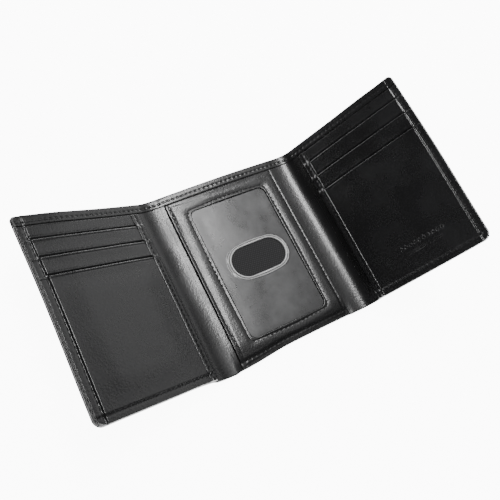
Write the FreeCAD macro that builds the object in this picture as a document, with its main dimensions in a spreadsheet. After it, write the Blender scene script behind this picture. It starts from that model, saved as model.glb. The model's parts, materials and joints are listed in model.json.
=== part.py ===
import FreeCAD, Part
import Sketcher
import os
import re

# Trifold wallet, in millimetres. The origin is the middle of the centre panel's underside,
# +X runs to the right panel, +Y to the open mouth of the note compartment and +Z up.
# Levels are heights above the underside of the wallet when it is laid flat.

doc = FreeCAD.newDocument("trifold_wallet")
sheet = doc.addObject("Spreadsheet::Sheet", "sizes")

driving_sizes = [
    ("wallet_height", 106.0, "bottom edge to top edge of the cover"),
    ("fold_span", 90.4, "left fold axis to right fold axis"),
    ("panel_shortfall", 14.2, "how far a closed side panel stops short of the far fold axis"),
    ("left_rest_angle", 27.0, "how far the left panel stands up, in degrees"),
    ("right_rest_angle", 51.5, "how far the right panel stands up, in degrees"),
    ("low_corner", 4.5, "radius of the outer corners at the bottom"),
    ("high_corner", 2.5, "radius of the outer corners at the top"),
    ("cover_leather", 1.0, "thickness of the outer cover"),
    ("lining_cloth", 0.2, "thickness of each lining"),
    ("lining_inset", 1.0, "lining's distance from the leather's outer edges"),
    ("note_gap", 1.5, "height of the note compartment, filled by the turned edges"),
    ("turned_width", 4.6, "width of the turned edges sewn round the compartment"),
    ("divider_leather", 0.6, "thickness of the divider"),
    ("divider_drop", 1.0, "divider's top edge below the cover's top edge"),
    ("hem_width", 5.5, "width of the hems along the top edges"),
    ("hem_leather", 0.5, "thickness of the hems"),
    ("pocket_setback", 6.6, "pocket's inner edge from the fold axis"),
    ("binding_width", 4.3, "width of the bound inner edge of the pockets"),
    ("base_leather", 0.4, "thickness of the pocket base"),
    ("slot_leather", 0.5, "thickness of each card slot's leather"),
    ("slot_gap", 0.1, "clearance between leathers lying on each other"),
    ("first_slot_drop", 14.5, "upper slot's edge below the cover's top edge"),
    ("slot_step", 9.9, "from one slot edge to the next"),
    ("id_setback", 9.8, "window frame's sides from the fold axes"),
    ("id_back_cloth", 0.2, "thickness of the window pocket's woven back"),
    ("vinyl_sheet", 0.3, "thickness of the clear window"),
    ("vinyl_lap", 4.0, "how far the clear window laps behind its frame"),
    ("frame_leather", 0.8, "thickness of the window frame"),
    ("window_left_margin", 11.6, "frame's left edge to the opening"),
    ("window_right_margin", 10.6, "frame's right edge to the opening"),
    ("window_low_margin", 10.5, "frame's bottom edge to the opening"),
    ("window_high_margin", 8.8, "hem to the opening"),
    ("window_corner", 4.0, "radius of the opening's corners"),
    ("thumb_length", 33.0, "thumb hole along X"),
    ("thumb_width", 17.5, "thumb hole along Y"),
    ("thumb_shift_x", 1.4, "thumb hole's centre right of the opening's centre"),
    ("thumb_shift_y", 1.0, "thumb hole's centre above the opening's centre"),
    ("lip_width", 1.9, "width of the raised lip round the thumb hole"),
    ("lip_rise", 0.3, "height of that lip"),
    ("thread_width", 0.5, "width of a run of stitching"),
    ("thread_rise", 0.2, "how far stitching stands above the leather"),
    ("edge_seam_inset", 3.0, "seam's distance from the outer edges"),
    ("hem_seam_inset", 3.6, "seam's distance from a hem's top edge"),
    ("frame_seam_inset", 2.0, "seam's distance from the window frame's sides"),
    ("window_seam_inset", 1.8, "seam's distance from the window opening"),
    ("binding_seam_inset", 2.4, "seam's distance from the pocket's inner edge"),
    ("left_fold_room", 1.2, "between the closed left panel and the window frame"),
    ("right_fold_room", 0.6, "between the closed right panel and the left one"),
]
for row, (alias, value, meaning) in enumerate(driving_sizes, start=1):
    sheet.set(f"A{row}", meaning)
    sheet.set(f"B{row}", str(value))
    sheet.setAlias(f"B{row}", alias)
doc.recompute()
aliases = {alias for alias, value, meaning in driving_sizes}


def bind(item, setting, text):
    # Each word of the size list in the text becomes a reference to the sheet.
    def refer(word):
        return "sizes." + word.group() if word.group() in aliases else word.group()
    item.setExpression(setting, re.sub(r"[a-z_]+", refer, text))


# Places that several pieces share, in words of the size list.
half_span = "(fold_span / 2)"
top_edge = "(wallet_height / 2)"
bottom_edge = "(-wallet_height / 2)"
panel_edge = "(fold_span - panel_shortfall)"
divider_edge = f"({top_edge} - divider_drop)"
hem_line = f"({divider_edge} - hem_width)"
pocket_top = f"({hem_line} - slot_gap)"
slot_start = "(pocket_setback + binding_width)"
slot_edges = [f"({top_edge} - first_slot_drop - {count} * slot_step)" for count in range(3)]

lining_level = "cover_leather"
gap_level = f"({lining_level} + lining_cloth)"
divider_lining_level = f"({gap_level} + note_gap)"
divider_level = f"({divider_lining_level} + lining_cloth)"
divider_face = f"({divider_level} + divider_leather)"
base_level = f"({divider_face} + slot_gap)"
base_face = f"({base_level} + base_leather)"
slot_levels = [
    f"({base_face} + slot_gap + {count} * (slot_leather + slot_gap))" for count in range(3)
]
stack_face = f"({slot_levels[2]} + slot_leather)"
vinyl_level = f"({base_level} + id_back_cloth + slot_gap)"
frame_level = f"({vinyl_level} + vinyl_sheet)"
frame_face = f"({frame_level} + frame_leather)"

frame_left = f"(id_setback - {half_span})"
frame_right = f"({half_span} - id_setback)"
window_left = f"({frame_left} + window_left_margin)"
window_right = f"({frame_right} - window_right_margin)"
window_low = f"({bottom_edge} + window_low_margin)"
window_high = f"({pocket_top} - window_high_margin)"
thumb_x = f"(({window_left} + {window_right}) / 2 + thumb_shift_x)"
thumb_y = f"(({window_low} + {window_high}) / 2 + thumb_shift_y)"

# The left panel folds first, so its axis clears the window frame. The right one clears the left.
left_axis_height = f"(({stack_face} + {frame_face} + left_fold_room) / 2)"
right_axis_height = f"({left_axis_height} + ({stack_face} + right_fold_room) / 2)"
panels = {
    "left": {"side": -1, "height": left_axis_height, "angle": "left_rest_angle"},
    "right": {"side": 1, "height": right_axis_height, "angle": "right_rest_angle"},
}
nodes = []


def put_on_fold(item, where, tilted):
    # An item drawn about a fold axis goes on that axis, and tilts with its panel if asked.
    fold = panels[where]
    bind(item, "Placement.Base.x", f"{fold['side']} * {half_span}")
    bind(item, "Placement.Base.z", fold["height"])
    if tilted:
        item.Placement.Rotation = FreeCAD.Rotation(FreeCAD.Vector(0, -fold["side"], 0), 1)
        bind(item, "Placement.Rotation.Angle", fold["angle"])


def low_spot(where, near, far, low, level):
    # On a panel, near and far are distances from its fold axis, and so is the drawn height.
    if where == "centre":
        return near, low, level
    fold = panels[where]
    low_x = near if fold["side"] > 0 else f"-({far})"
    return low_x, low, f"{level} - {fold['height']}"


def add_body(label):
    body = doc.addObject("PartDesign::Body", label)
    body.Label = label
    return body


def origin_feature(body, role):
    return next(feature for feature in body.Origin.OriginFeatures if feature.Role == role)


def add_rectangle(body, name, role, spot, length, width):
    # The rectangle is drawn from its own low corner, which the offset puts on the plane.
    sketch = body.newObject("Sketcher::SketchObject", name)
    sketch.AttachmentSupport = [(origin_feature(body, role), "")]
    sketch.MapMode = "FlatFace"
    for letter, text in zip("xyz", spot):
        bind(sketch, f"AttachmentOffset.Base.{letter}", text)
    corners = [FreeCAD.Vector(x, y, 0) for x, y in ((0, 0), (10, 0), (10, 10), (0, 10))]
    for count in range(4):
        sketch.addGeometry(Part.LineSegment(corners[count], corners[(count + 1) % 4]))
    for count in range(4):
        sketch.addConstraint(Sketcher.Constraint("Coincident", count, 2, (count + 1) % 4, 1))
    for count in (0, 2):
        sketch.addConstraint(Sketcher.Constraint("Horizontal", count))
        sketch.addConstraint(Sketcher.Constraint("Vertical", count + 1))
    sketch.addConstraint(Sketcher.Constraint("Coincident", 0, 1, -1, 1))
    for kind, side, text in (("DistanceX", 0, length), ("DistanceY", 1, width)):
        number = sketch.addConstraint(Sketcher.Constraint(kind, side, 1, side, 2, 10.0))
        sketch.renameConstraint(number, kind.lower())
        bind(sketch, "Constraints." + kind.lower(), text)
    return sketch


def add_pad(body, sketch, thick):
    pad = body.newObject("PartDesign::Pad", body.Name + "_pad")
    pad.Profile = sketch
    bind(pad, "Length", thick)
    doc.recompute()
    return pad


def round_corners(body, base, spots, radius):
    # Rounds the edges of the base that run along Z at the X and Y places given.
    names = []
    for number, edge in enumerate(base.Shape.Edges, start=1):
        first = edge.Vertexes[0].Point
        last = edge.Vertexes[-1].Point
        upright = abs(first.x - last.x) + abs(first.y - last.y) < 1e-6
        if upright and any(abs(first.x - x) + abs(first.y - y) < 1e-6 for x, y in spots):
            names.append(f"Edge{number}")
    fillet = body.newObject("PartDesign::Fillet", f"{base.Name}_{radius}")
    fillet.Base = (base, names)
    bind(fillet, "Radius", radius)
    doc.recompute()
    return fillet


def plate(label, where, near, far, low, high, level, thick, rounded=()):
    # A flat piece of leather or cloth. Rounded names which of its outer corners are round.
    body = add_body(label)
    spot = low_spot(where, near, far, low, level)
    length = f"{far} - ({near})"
    width = f"{high} - ({low})"
    sketch = add_rectangle(body, label + "_outline", "XY_Plane", spot, length, width)
    tip = add_pad(body, sketch, thick)
    for corner in rounded:
        box = tip.Shape.BoundBox
        outer_x = box.XMax if panels[where]["side"] > 0 else box.XMin
        outer_y = box.YMin if corner == "low_corner" else box.YMax
        tip = round_corners(body, tip, [(outer_x, outer_y)], corner)
    if where != "centre":
        put_on_fold(body, where, tilted=True)
    nodes.append(body)
    return body


def rounded_block(label, near, far, low, high, level, thick, radius):
    # A block on the centre panel with all four upright edges rounded, for cutting and framing.
    body = add_body(label)
    length = f"{far} - ({near})"
    width = f"{high} - ({low})"
    sketch = add_rectangle(body, label + "_outline", "XY_Plane", (near, low, level), length, width)
    tip = add_pad(body, sketch, thick)
    box = tip.Shape.BoundBox
    corners = [(x, y) for x in (box.XMin, box.XMax) for y in (box.YMin, box.YMax)]
    round_corners(body, tip, corners, radius)
    return body


def add_cut(label, base, tool):
    cut = doc.addObject("Part::Cut", label)
    cut.Label = label
    cut.Base = base
    cut.Tool = tool
    doc.recompute()
    if cut.Shape.Volume > base.Shape.Volume - 0.01:
        raise ValueError(label + ": nothing was cut")
    return cut


def stadium(label, grow, level, thick):
    # An upright prism of the thumb hole's outline, grown all round by the text given.
    radius = f"(thumb_width / 2 + {grow})"
    reach = "((thumb_length - thumb_width) / 2)"
    middle = doc.addObject("Part::Box", label + "_middle")
    bind(middle, "Length", f"2 * {reach}")
    bind(middle, "Width", f"2 * {radius}")
    bind(middle, "Height", thick)
    bind(middle, "Placement.Base.x", f"{thumb_x} - {reach}")
    bind(middle, "Placement.Base.y", f"{thumb_y} - {radius}")
    bind(middle, "Placement.Base.z", level)
    pieces = [middle]
    for sign in ("-", "+"):
        end = doc.addObject("Part::Cylinder", label + "_end")
        bind(end, "Radius", radius)
        bind(end, "Height", thick)
        bind(end, "Placement.Base.x", f"{thumb_x} {sign} {reach}")
        bind(end, "Placement.Base.y", thumb_y)
        bind(end, "Placement.Base.z", level)
        pieces.append(end)
    return pieces


def fuse(label, pieces):
    joined = doc.addObject("Part::MultiFuse", label)
    joined.Shapes = pieces
    joined.Refine = True
    return joined


def stitch_runs(label, where, runs):
    # Straight runs of stitching in one node. A run is near, far, low, high and the level under it.
    threads = []
    for near, far, low, high, level in runs:
        thread = doc.addObject("Part::Box", label + "_run")
        bind(thread, "Length", f"{far} - ({near})")
        bind(thread, "Width", f"{high} - ({low})")
        bind(thread, "Height", "thread_rise")
        for letter, text in zip("xyz", low_spot(where, near, far, low, level)):
            bind(thread, f"Placement.Base.{letter}", text)
        threads.append(thread)
    add_group(label, threads, where, tilted=True)


def add_group(label, items, where, tilted):
    group = doc.addObject("Part::Compound", label)
    group.Label = label
    group.Links = items
    if where != "centre":
        put_on_fold(group, where, tilted)
    nodes.append(group)


def hem_seam_runs(near, far):
    # One run on the cover's hem, inside the note compartment, and one on the divider's hem.
    cover_seam = f"({top_edge} - hem_seam_inset)"
    divider_seam = f"({divider_edge} - hem_seam_inset)"
    return [
        (near, far, cover_seam, f"{cover_seam} + thread_width", f"{gap_level} + hem_leather"),
        (near, far, divider_seam, f"{divider_seam} + thread_width", f"{divider_face} + hem_leather"),
    ]


def add_layers(prefix, where, near, far, is_panel):
    # The cover, its lining, the divider with its lining, and the hems along both top edges.
    both = ("low_corner", "high_corner") if is_panel else ()
    high_only = ("high_corner",) if is_panel else ()
    cloth_far = f"({far} - lining_inset)" if is_panel else far
    cloth_low = f"({bottom_edge} + lining_inset)"
    cloth_high = f"({top_edge} - lining_inset)"
    divider_cloth_high = f"({divider_edge} - lining_inset)"
    layers = [
        ("outer_cover", far, bottom_edge, top_edge, "0", "cover_leather", both),
        ("cover_lining", cloth_far, cloth_low, cloth_high, lining_level, "lining_cloth", ()),
        ("divider_lining", cloth_far, cloth_low, divider_cloth_high, divider_lining_level,
         "lining_cloth", ()),
        ("divider", far, bottom_edge, divider_edge, divider_level, "divider_leather", both),
        ("cover_hem", far, f"({top_edge} - hem_width)", top_edge, gap_level, "hem_leather",
         high_only),
        ("divider_hem", far, hem_line, divider_edge, divider_face, "hem_leather", high_only),
    ]
    for name, end, low, high, level, thick, rounded in layers:
        plate(f"{prefix}_{name}", where, near, end, low, high, level, thick, rounded)


def arc_section(label, where, low, high, level, thick):
    # A layer bent round the fold axis, from the centre panel's edge to the resting side panel.
    fold = panels[where]
    body = add_body(label)
    spot = (low, f"{level} - {fold['height']}", "0")
    sketch = add_rectangle(body, label + "_section", "YZ_Plane", spot, f"{high} - ({low})", thick)
    bend = body.newObject("PartDesign::Revolution", label + "_bend")
    bend.Profile = sketch
    bend.ReferenceAxis = (origin_feature(body, "Y_Axis"), [""])
    bend.Reversed = fold["side"] > 0
    bind(bend, "Angle", fold["angle"])
    doc.recompute()
    return body


def add_fold(where):
    # The stretch of each layer that bends at the fold. The leather and cloth run on unbroken.
    prefix = where + "_fold"
    cloth_low = f"({bottom_edge} + lining_inset)"
    layers = [
        ("outer_cover", bottom_edge, top_edge, "0", "cover_leather"),
        ("cover_lining", cloth_low, f"({top_edge} - lining_inset)", lining_level, "lining_cloth"),
        ("divider_lining", cloth_low, f"({divider_edge} - lining_inset)", divider_lining_level,
         "lining_cloth"),
        ("divider", bottom_edge, divider_edge, divider_level, "divider_leather"),
        ("cover_hem", f"({top_edge} - hem_width)", top_edge, gap_level, "hem_leather"),
        ("divider_hem", hem_line, divider_edge, divider_face, "hem_leather"),
    ]
    for name, low, high, level, thick in layers:
        body = arc_section(f"{prefix}_{name}", where, low, high, level, thick)
        put_on_fold(body, where, tilted=False)
        nodes.append(body)
    seams = []
    for number, (near, far, low, high, level) in enumerate(hem_seam_runs("0", "0")):
        seams.append(arc_section(f"{prefix}_seam_{number}", where, low, high, level, "thread_rise"))
    add_group(prefix + "_hem_seams", seams, where, tilted=False)


def add_side_panel(where):
    # A side panel: the shared layers, the turned edges and a pocket with three card slots.
    add_layers(where, where, "0", panel_edge, is_panel=True)
    turned_start = f"({panel_edge} - turned_width)"
    side_top = f"({top_edge} - hem_width - slot_gap)"
    plate(where + "_side_turned_edge", where, turned_start, panel_edge, bottom_edge, side_top,
          gap_level, "note_gap", ("low_corner",))
    plate(where + "_bottom_turned_edge", where, "0", turned_start, bottom_edge,
          f"({bottom_edge} + turned_width)", gap_level, "note_gap")
    plate(where + "_pocket_base", where, "pocket_setback", panel_edge, bottom_edge, pocket_top,
          base_level, "base_leather", ("low_corner",))
    plate(where + "_pocket_binding", where, "pocket_setback", slot_start, bottom_edge, pocket_top,
          base_face, f"{stack_face} - {base_face}")
    for name, edge, level in zip(("upper", "middle", "front"), slot_edges, slot_levels):
        plate(f"{where}_slot_{name}", where, slot_start, panel_edge, bottom_edge, edge, level,
              "slot_leather", ("low_corner",))
    stitch_runs(where + "_hem_seams", where, hem_seam_runs("0", f"({panel_edge} - edge_seam_inset)"))

    # The outer seam steps down from the front slot's leather to the pocket base.
    seam_far = f"({panel_edge} - edge_seam_inset)"
    seam_near = f"({seam_far} - thread_width)"
    seam_low = f"({bottom_edge} + edge_seam_inset)"
    seam_inner = f"({seam_low} + thread_width)"
    faces = [f"{level} + slot_leather" for level in reversed(slot_levels)] + [base_face]
    ends = list(reversed(slot_edges)) + [pocket_top]
    starts = [seam_inner] + [f"{end} + slot_gap" for end in ends[:-1]]
    runs = [(slot_start, seam_far, seam_low, seam_inner, stack_face)]
    for start, end, face in zip(starts, ends, faces):
        runs.append((seam_near, seam_far, start, end, face))
    stitch_runs(where + "_edge_seam", where, runs)

    binding_seam = "(pocket_setback + binding_seam_inset)"
    binding_run = (binding_seam, f"{binding_seam} + thread_width", seam_low, pocket_top, stack_face)
    stitch_runs(where + "_pocket_seam", where, [binding_run])


def add_centre_panel():
    # The centre panel: the shared layers, and a pocket behind a framed clear window.
    add_layers("centre", "centre", f"-{half_span}", half_span, is_panel=False)
    plate("centre_bottom_turned_edge", "centre", f"-{half_span}", half_span, bottom_edge,
          f"({bottom_edge} + turned_width)", gap_level, "note_gap")
    plate("id_pocket_back", "centre", frame_left, frame_right, bottom_edge, pocket_top,
          base_level, "id_back_cloth")

    sheet_box = doc.addObject("Part::Box", "vinyl_box")
    bind(sheet_box, "Length", f"{window_right} - {window_left} + 2 * vinyl_lap")
    bind(sheet_box, "Width", f"{window_high} - {window_low} + 2 * vinyl_lap")
    bind(sheet_box, "Height", "vinyl_sheet")
    bind(sheet_box, "Placement.Base.x", f"{window_left} - vinyl_lap")
    bind(sheet_box, "Placement.Base.y", f"{window_low} - vinyl_lap")
    bind(sheet_box, "Placement.Base.z", vinyl_level)
    lip = stadium("thumb_lip", "lip_width", vinyl_level, "(vinyl_sheet + lip_rise)")
    hole = stadium("thumb_hole", "0", vinyl_level, "(vinyl_sheet + lip_rise)")
    lipped_sheet = fuse("lipped_vinyl", [sheet_box] + lip)
    nodes.append(add_cut("id_window", lipped_sheet, fuse("thumb_opening", hole)))

    frame = plate("id_frame_blank", "centre", frame_left, frame_right, bottom_edge, pocket_top,
                  frame_level, "frame_leather")
    nodes.remove(frame)
    window = (window_left, window_right, window_low, window_high)
    opening = rounded_block("window_opening", *window, frame_level, "frame_leather", "window_corner")
    nodes.append(add_cut("id_frame", frame, opening))

    seam_low = f"({bottom_edge} + edge_seam_inset)"
    bottom_run = (frame_left, frame_right, seam_low, f"{seam_low} + thread_width", frame_face)
    stitch_runs("centre_bottom_seam", "centre", [bottom_run])
    stitch_runs("centre_hem_seams", "centre", hem_seam_runs(f"-{half_span}", half_span))
    side_low = f"({seam_low} + 2 * thread_width)"
    left_seam = f"({frame_left} + frame_seam_inset)"
    right_seam = f"({frame_right} - frame_seam_inset)"
    stitch_runs("id_frame_side_seams", "centre", [
        (left_seam, f"{left_seam} + thread_width", side_low, pocket_top, frame_face),
        (f"{right_seam} - thread_width", right_seam, side_low, pocket_top, frame_face),
    ])
    loops = []
    for name, inset in (("outside", "(window_seam_inset + thread_width)"),
                        ("inside", "window_seam_inset")):
        loops.append(rounded_block(
            "window_seam_" + name, f"({window_left} - {inset})", f"({window_right} + {inset})",
            f"({window_low} - {inset})", f"({window_high} + {inset})", frame_face, "thread_rise",
            f"window_corner + {inset}"))
    nodes.append(add_cut("id_window_seam", *loops))


add_centre_panel()
for where in panels:
    add_side_panel(where)
    add_fold(where)
doc.recompute()

for item in doc.Objects:
    if "Invalid" in item.State or "Error" in item.State:
        raise ValueError(f"{item.Label} failed: {item.State}")
for node in nodes:
    if node.Shape.isNull() or not node.Shape.isValid():
        raise ValueError(node.Label + " has no valid shape")
os.makedirs("parts", exist_ok=True)
for node in nodes:
    node.Shape.exportStep(f"parts/{node.Label}.step")
print(len(nodes), "nodes written")
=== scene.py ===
import json
import math
import bpy
import numpy as np
from mathutils import Matrix, Vector


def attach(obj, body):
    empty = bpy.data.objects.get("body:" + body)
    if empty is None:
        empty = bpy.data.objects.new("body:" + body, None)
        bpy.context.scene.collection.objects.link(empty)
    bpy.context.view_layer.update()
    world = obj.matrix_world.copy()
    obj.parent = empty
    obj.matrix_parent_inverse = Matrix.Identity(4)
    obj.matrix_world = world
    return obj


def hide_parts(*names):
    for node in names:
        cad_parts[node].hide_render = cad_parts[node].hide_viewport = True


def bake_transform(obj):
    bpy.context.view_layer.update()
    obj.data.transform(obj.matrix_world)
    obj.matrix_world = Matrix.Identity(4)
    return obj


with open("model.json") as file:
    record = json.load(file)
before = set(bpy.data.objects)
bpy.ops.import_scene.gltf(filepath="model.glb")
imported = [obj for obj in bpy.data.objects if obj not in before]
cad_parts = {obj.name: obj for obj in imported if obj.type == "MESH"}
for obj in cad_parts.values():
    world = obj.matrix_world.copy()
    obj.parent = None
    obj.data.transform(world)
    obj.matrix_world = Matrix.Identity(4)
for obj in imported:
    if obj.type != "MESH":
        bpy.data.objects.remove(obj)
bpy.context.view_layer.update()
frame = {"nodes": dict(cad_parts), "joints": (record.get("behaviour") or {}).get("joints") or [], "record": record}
mm = 0.001

# Every shape is worked out on the flat wallet: q runs across it, y along it and level is the
# height above its underside. place() then bends that flat wallet into its resting shape.

bend = {
    # length of each bent stretch, how late it turns (1 is a plain arc), and where along it the
    # leather would start to give; follow() works that point out but puts it to no use
    "left": (12 * mm, 1.5, 0.1),
    "right": (16 * mm, 2.6, 0.3),
    "overlap": 0.5 * mm,              # flat leather at each end of a fold piece
}


def flatBox(node, side=0):
    # lowest and highest corner of a CAD node with its panel turned back flat, its X counted
    # from the fold axis outwards
    corners = np.array([v.co for v in frame["nodes"][node].data.vertices])
    if side:
        fold = folds[side]
        outward = corners[:, 0] * side - fold["axisX"]
        rise = corners[:, 2] - fold["axisZ"]
        cosine, sine = math.cos(fold["rest"]), math.sin(fold["rest"])
        corners = np.stack([outward * cosine + rise * sine, corners[:, 1],
                            rise * cosine - outward * sine + fold["axisZ"]], 1)
    return corners.min(0), corners.max(0)


folds = {}
for joint in frame["joints"]:
    side = -1 if joint["name"].startswith("left") else 1
    folds[side] = {"axisX": abs(joint["pos_m"][0]), "axisZ": joint["pos_m"][2],
                   "rest": math.radians(-joint["range_deg"][0])}
coverHigh = flatBox("centre_outer_cover")[1]
dividerLow, dividerHigh = flatBox("centre_divider")
frameLow, frameHigh = flatBox("id_frame")
pocketLow, pocketHigh = flatBox("left_pocket_base", -1)
slotLow = flatBox("left_slot_front", -1)[0]
bindingLow, bindingHigh = flatBox("left_pocket_binding", -1)
halfHeight = coverHigh[1]
guide = dividerHigh[2]                # level whose bent line is worked out first
for side, fold in folds.items():
    # the line turns by rest * s ** late along its length, and its two end tangents meet where
    # those of the flat and the tilted panel do
    fold["arc"], late, fold["give"] = bend["left" if side < 0 else "right"]
    share = np.linspace(0, 1, 241)
    turn = fold["rest"] * share ** late
    middle = (turn[1:] + turn[:-1]) / 2
    reach = fold["arc"] / (len(share) - 1)
    fold["share"], fold["turn"] = share, turn
    fold["x"] = np.concatenate([[0], np.cumsum(np.cos(middle)) * reach])
    fold["z"] = np.concatenate([[0], np.cumsum(np.sin(middle)) * reach])
    panelTangent = fold["z"][-1] / math.sin(fold["rest"])
    flatTangent = fold["x"][-1] - panelTangent * math.cos(fold["rest"])
    foot = (fold["axisZ"] - guide) * math.tan(fold["rest"] / 2)
    fold["flatEnd"] = fold["axisX"] + foot - flatTangent
    fold["panelStart"] = panelTangent - foot
    fold["edge"] = fold["flatEnd"] + fold["arc"] + pocketHigh[0] - fold["panelStart"]


def panelQ(side, distance):
    # q of a place on a side panel at that distance from its fold axis
    fold = folds[side]
    return side * (fold["flatEnd"] + fold["arc"] + distance - fold["panelStart"])


def smooth(t):
    t = np.clip(t, 0, 1)
    return t * t * (3 - 2 * t)


def hump(t):
    # 1 at t = 0, falling to 0 at t = -1 and 1
    return smooth(1 - np.abs(t))


relief = {
    "sideShare": 0.90,                # thickness left at the sewn outer border
    "squeeze": 0.13,                  # how far the slots' leathers are pressed together there
    "centreLowShare": 0.75,           # thickness left along the centre panel's bottom edge
    "lowShare": 0.95,                 # and at the sewn bottom border
    "borderFlat": 3.6 * mm,           # width of that border before the step up
    "borderStep": 1.05 * mm,          # width of the step
    "foldDip": 0.04,                  # share of height lost in the valley of a fold
    "mouthOpening": 1.3 * mm,         # how far the divider stands off the cover at the mouth
    "mouthDepth": 16 * mm,
    "mouthSide": 22 * mm,             # how far in from the sides the mouth opens fully
    "mouthWave": 21 * mm,             # run of the mouth's rise and fall across the wallet
    "lowReach": 12 * mm,              # stretch above the low edge that hangs or is pressed thin
    "foldEase": 4 * mm,               # stretch over which a panel goes over into a fold strip
    "lowBulge": 0.6 * mm,             # how far the leather hangs out at the folds' low ends
    "sag": (1.7 * mm, -34 * mm, 32 * mm),   # the low edge's widest sag: depth, place, reach
    "sway": 0.35 * mm,                # unevenness of the long edges
    "swayRun": (27 * mm, 19 * mm),    # run of that unevenness across and along
    "corner": 30 * mm,                # added to a distance to leave a seam or border out
}


def foldShare(q):
    # 1 in the middle of a fold strip, 0 on the sewn panels
    share = 0
    for side, fold in folds.items():
        inner, outer = frameHigh[0], abs(panelQ(side, pocketLow[0]))
        into = smooth((q * side - inner) / relief["foldEase"])
        share = share + into * smooth((outer - q * side) / relief["foldEase"])
    return share


def edgeQ(q):
    return np.where(q < 0, folds[-1]["edge"], folds[1]["edge"])


def toEdge(q):
    return edgeQ(q) - np.abs(q)


def pastBorder(gap):
    # 0 in the sewn border, 1 beyond the step up
    return smooth((gap - relief["borderFlat"]) / relief["borderStep"])


def fromInner(q, distance):
    # how far out q lies from the place on its own panel at that distance from the fold axis
    return np.abs(q) - np.where(q < 0, abs(panelQ(-1, distance)), panelQ(1, distance))


def heightAt(q, y, level):
    # height of a level: thinner in the sewn border and in the fold valleys, standing off the
    # cover near the mouth
    valley = foldShare(q)
    share = 1 - relief["foldDip"] * valley
    base = pocketHigh[2]
    pressed = 1 - relief["squeeze"] * (1 - pastBorder(toEdge(q)))
    level = np.minimum(level, base) + np.maximum(level - base, 0) * pressed
    for gap, left in ((toEdge(q), relief["sideShare"]),
                      (y + halfHeight + relief["corner"] * valley, relief["lowShare"])):
        share = share * (left + (1 - left) * pastBorder(gap))
    ease = relief["foldEase"]
    onCentre = smooth((frameHigh[0] + ease - np.abs(q)) / ease)
    lowEnd = smooth((-y - halfHeight + relief["lowReach"]) / (relief["lowReach"] + 2 * mm))
    share = share * (1 - (1 - relief["centreLowShare"]) * onCentre * lowEnd)
    aboveNotes = level > (coverHigh[2] + dividerLow[2]) / 2
    nearMouth = smooth((y - halfHeight + relief["mouthDepth"]) / relief["mouthDepth"])
    fromSide = smooth((toEdge(q) - ease) / relief["mouthSide"])
    wave = 0.55 + 0.45 * np.cos(q / relief["mouthWave"])
    stand = relief["mouthOpening"] * nearMouth * fromSide * wave
    return level * share + np.where(aboveNotes, np.maximum(stand, 0), 0)


def place(q, y, h):
    # flat wallet to resting wallet: straight on the centre panel, along the fold's bent line,
    # then straight up the panel's slope, with the height square to that line
    q, y, h = np.broadcast_arrays(q, y, h)
    valley = foldShare(q)
    low = smooth((-y - halfHeight + relief["lowReach"]) / relief["lowReach"])
    depth, middle, reach = relief["sag"]
    across, along = relief["swayRun"]
    y = y - relief["lowBulge"] * low * valley * np.where(q < 0, 1, 0.5)
    y = y - depth * low * hump((q - middle) / reach)
    y = y + relief["sway"] * np.sin(q / across + 0.6) * (y / halfHeight) ** 2
    q = q + relief["sway"] * np.sin(y / along + 1.1) * (q / edgeQ(q)) ** 2
    x, z = q.copy(), h.copy()
    for side, fold in folds.items():
        across = q * side - fold["flatEnd"]
        share = np.clip(across / fold["arc"], 0, 1)
        turn = np.interp(share, fold["share"], fold["turn"])
        beyond = np.maximum(across - fold["arc"], 0)
        bentX = (fold["flatEnd"] + np.interp(share, fold["share"], fold["x"])
                 + beyond * np.cos(turn) - (h - guide) * np.sin(turn))
        bentZ = (guide + np.interp(share, fold["share"], fold["z"])
                 + beyond * np.sin(turn) + (h - guide) * np.cos(turn))
        x = np.where(across > 0, side * bentX, x)
        z = np.where(across > 0, bentZ, z)
    return np.stack([x, y, z], -1)


def newMaterial(name):
    material = bpy.data.materials.new(name)
    material.use_nodes = True
    tree = material.node_tree
    return material, tree, tree.nodes["Principled BSDF"]


def addNode(tree, kind, **settings):
    node = tree.nodes.new("ShaderNode" + kind)
    for key, value in settings.items():
        if key in node.inputs:
            node.inputs[key].default_value = value
        else:
            setattr(node, key, value)
    return node


def texture(tree, spots, kind, **settings):
    node = addNode(tree, "Tex" + kind, **settings)
    tree.links.new(spots, node.inputs["Vector"])
    return node.outputs


def ramp(tree, source, stops):
    node = addNode(tree, "ValToRGB")
    elements = node.color_ramp.elements
    while len(elements) < len(stops):
        elements.new(0.5)
    for element, (position, colour) in zip(elements, stops):
        element.position = position
        element.color = (*colour, 1) if len(colour) == 3 else (colour[0],) * 3 + (1,)
    tree.links.new(source, node.inputs[0])
    return node.outputs[0]


def bump(tree, height, distance, before=None):
    node = addNode(tree, "Bump", Strength=1.0, Distance=distance)
    tree.links.new(height, node.inputs["Height"])
    if before:
        tree.links.new(before, node.inputs["Normal"])
    return node.outputs["Normal"]


def scaled(tree, source, factor, kind="MULTIPLY"):
    node = addNode(tree, "Math", operation=kind)
    tree.links.new(source, node.inputs[0])
    if isinstance(factor, (int, float)):
        node.inputs[1].default_value = factor
    else:
        tree.links.new(factor, node.inputs[1])
    return node.outputs[0]


def shades(colour, *factors):
    return [[c * factor for c in colour] for factor in factors]


def setInputs(shader, values):
    for key, value in values.items():
        shader.inputs[key].default_value = value


def tint(tree, share, base, second, shader):
    # a second colour laid over the base by a share from 0 to 1
    mix = addNode(tree, "Mix", data_type="RGBA")
    tree.links.new(share, mix.inputs["Factor"])
    tree.links.new(base, mix.inputs["A"])
    mix.inputs["B"].default_value = (*second, 1)
    tree.links.new(mix.outputs["Result"], shader.inputs["Base Color"])


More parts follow.
